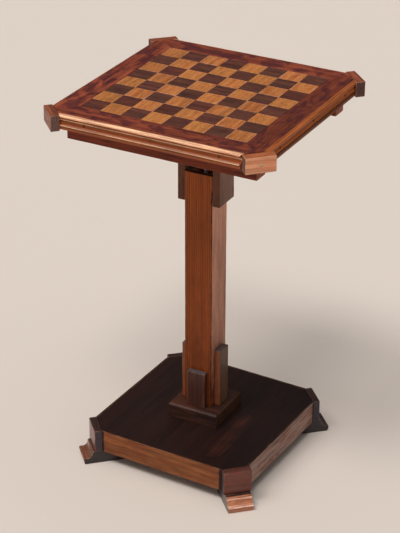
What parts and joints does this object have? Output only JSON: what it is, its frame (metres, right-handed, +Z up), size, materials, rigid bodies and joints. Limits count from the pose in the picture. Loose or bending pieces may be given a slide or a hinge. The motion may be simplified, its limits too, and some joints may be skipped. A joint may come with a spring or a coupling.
{
  "type": "pedestal chess table",
  "caption": "Small pedestal game table: inlaid chequered top with moulded edge and corner blocks, hollow square post, low square base on bracket feet.",
  "frame": {"origin": "on the floor under the centre of the board", "axes": "+Z up from the floor to the playing surface, +X to the right along the board's front edge, +Y to the back. The front left corner square is dark."},
  "size_m": [0.446, 0.4408, 0.72],
  "materials": {
    "core_wood": "stained",
    "light_veneer": "satin varnish",
    "dark_veneer": "satin varnish",
    "border_veneer": "satin varnish",
    "moulding_wood": "polished",
    "corner_block_wood": "satin",
    "batten_wood": "stained",
    "cheek_wood": "stained",
    "post_wood": "satin varnish",
    "step_block_wood": "stained",
    "collar_wood": "stained",
    "base_board_wood": "satin varnish",
    "rail_wood": "satin varnish",
    "base_block_wood": "stained",
    "foot_wood": "polished",
    "pale_wood": "bare",
    "screw_steel": "dull",
    "rod_steel": "bright"
  },
  "bodies": {
    "root": {"top_core": "core_wood", "light_squares": "light_veneer", "dark_squares": "dark_veneer", "border_front": "border_veneer", "border_right": "border_veneer", "border_back": "border_veneer", "border_left": "border_veneer", "moulding_front": "moulding_wood", "moulding_right": "moulding_wood", "moulding_back": "moulding_wood", "moulding_left": "moulding_wood", "corner_block_front_right": "corner_block_wood", "corner_block_back_right": "corner_block_wood", "corner_block_back_left": "corner_block_wood", "corner_block_front_left": "corner_block_wood", "moulding_screws": "screw_steel", "corner_block_screws": "screw_steel", "batten_front": "batten_wood", "batten_back": "batten_wood", "centre_bearer": "batten_wood", "underframe_screws": "screw_steel", "cheek_right": "cheek_wood", "cheek_left": "cheek_wood", "cheek_dowels": "pale_wood", "post_front": "post_wood", "post_right": "post_wood", "post_back": "post_wood", "post_left": "post_wood", "post_plug": "pale_wood", "step_block_front": "step_block_wood", "step_block_right": "step_block_wood", "step_block_back": "step_block_wood", "step_block_left": "step_block_wood", "collar": "collar_wood", "collar_screws": "screw_steel", "base_board": "base_board_wood", "rail_front": "rail_wood", "rail_right": "rail_wood", "rail_back": "rail_wood", "rail_left": "rail_wood", "base_block_front_right": "base_block_wood", "base_block_back_right": "base_block_wood", "base_block_back_left": "base_block_wood", "base_block_front_left": "base_block_wood", "foot_front_right": "foot_wood", "foot_back_right": "foot_wood", "foot_back_left": "foot_wood", "foot_front_left": "foot_wood", "glue_block_front_right": "pale_wood", "glue_block_back_right": "pale_wood", "glue_block_back_left": "pale_wood", "glue_block_front_left": "pale_wood", "foot_screws": "screw_steel", "base_bearer": "pale_wood", "tie_rod": "rod_steel", "rod_washers": "rod_steel", "rod_nuts": "rod_steel"}
  },
  "joints": []
}
